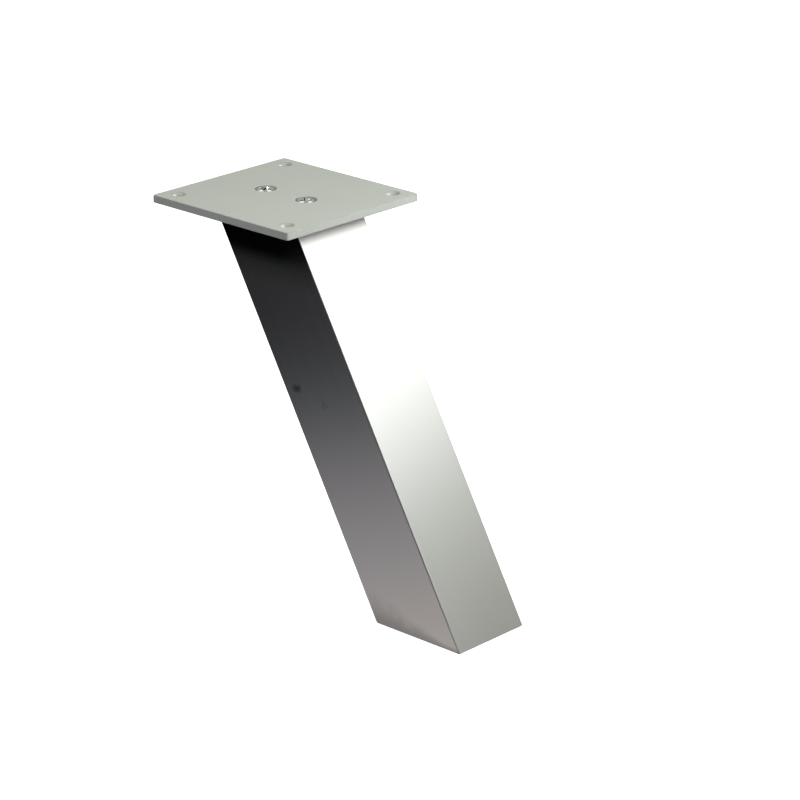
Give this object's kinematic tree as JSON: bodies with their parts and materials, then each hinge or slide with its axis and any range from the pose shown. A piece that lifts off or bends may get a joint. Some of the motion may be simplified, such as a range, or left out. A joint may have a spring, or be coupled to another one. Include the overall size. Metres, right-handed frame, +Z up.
{
  "type": "bar support bracket",
  "caption": "Leaning square aluminium tube bracket with a square steel mounting plate, for holding a raised bar top above a worktop.",
  "frame": {"origin": "middle of the foot, level with the tube's sawn end, where the bracket sits on the worktop", "axes": "+Z is up from the worktop towards the bar. +X is the way the tube runs as it comes down from the plate to the foot. Y is across the tube, and the bracket is alike on both sides of Y = 0"},
  "size_m": [0.1992, 0.1, 0.212],
  "materials": {
    "plate_coating": "satin",
    "tube_aluminium": "satin",
    "block_aluminium": "matte",
    "screw_zinc": "gloss"
  },
  "bodies": {
    "root": {"mounting_plate": "plate_coating", "leg_tube": "tube_aluminium", "top_block": "block_aluminium", "bottom_block": "block_aluminium", "plate_screws": "screw_zinc"}
  },
  "joints": []
}
